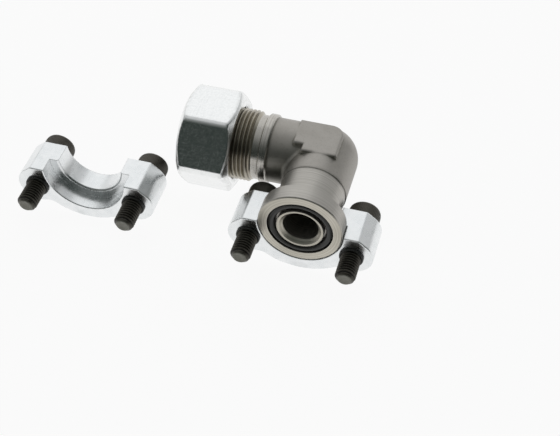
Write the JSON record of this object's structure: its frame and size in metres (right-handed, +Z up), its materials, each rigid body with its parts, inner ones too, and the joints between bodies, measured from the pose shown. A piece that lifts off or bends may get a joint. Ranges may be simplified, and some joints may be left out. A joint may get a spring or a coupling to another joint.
{
  "type": "hydraulic flange elbow",
  "caption": "Right-angle hydraulic fitting: a round sealing flange with its split bolted clamp at one end, a union nut and cutting ring for a tube at the other.",
  "frame": {"origin": "centre of the flange's sealing face", "axes": "-Y points out of the sealing face, -X along the tube end, +Z up"},
  "size_m": [0.1826, 0.0897, 0.0505],
  "materials": {
    "forged_steel": "satin, phosphated",
    "zinc_plated_steel": "bright zinc plating",
    "black_oxide_steel": "black oxide",
    "black_rubber": "matt"
  },
  "bodies": {
    "fitting": {"elbow_body": "forged_steel", "face_seal_ring": "black_rubber", "seated_clamp_half": "zinc_plated_steel", "seated_clamp_screws": "black_oxide_steel", "seated_screw_retainers": "black_rubber", "loose_clamp_half": "zinc_plated_steel", "loose_clamp_screws": "black_oxide_steel", "loose_screw_retainers": "black_rubber"},
    "ring": {"cutting_ring": "zinc_plated_steel"},
    "nut": {"union_nut": "zinc_plated_steel"}
  },
  "joints": [
    {"name": "nut_travel", "type": "slide", "parent": "fitting", "child": "ring", "axis": [-1, 0, 0], "range_m": [0, 0.004]},
    {"name": "nut_turn", "type": "hinge", "parent": "ring", "child": "nut", "pos_m": [-0.0572, 0.049, 0], "axis": [-1, 0, 0], "range_deg": [0, 720]}
  ],
  "couplings": [
    {"joint": "nut_travel", "follows": "nut_turn", "m_per_rad": 0.00031831}
  ]
}
